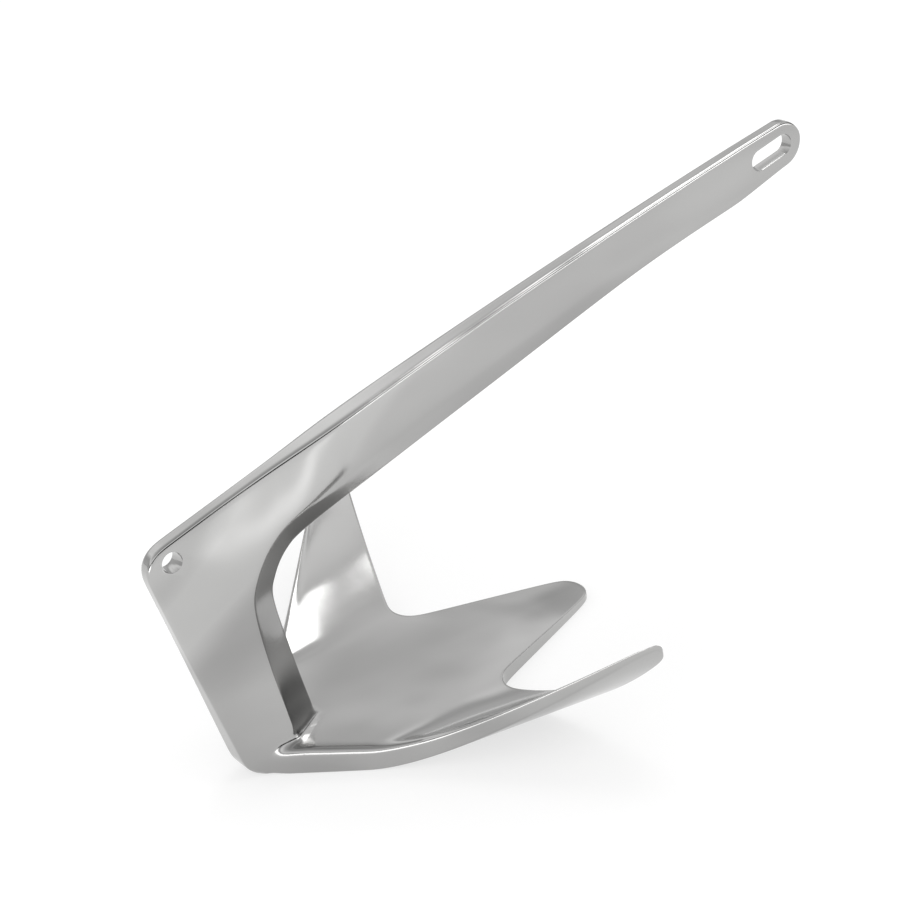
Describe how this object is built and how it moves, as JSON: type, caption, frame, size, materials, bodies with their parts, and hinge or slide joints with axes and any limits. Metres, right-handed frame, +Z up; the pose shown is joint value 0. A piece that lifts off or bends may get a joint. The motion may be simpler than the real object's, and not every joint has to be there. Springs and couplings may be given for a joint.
{
  "type": "claw anchor",
  "caption": "One-piece claw anchor with a bent flat shank, a shackle slot, a trip-line hole and a scoop with side flukes and a middle fluke.",
  "frame": {"origin": "centre of the bounding box at the sole, on the symmetry plane", "axes": "+X forward from the heel to the shackle slot, +Y across, +Z up; the XZ plane is the symmetry plane"},
  "size_m": [0.4265, 0.291, 0.213],
  "materials": {
    "stainless_steel": "mirror-polished stainless steel"
  },
  "bodies": {
    "root": {"claw_anchor": "stainless_steel"}
  },
  "joints": []
}
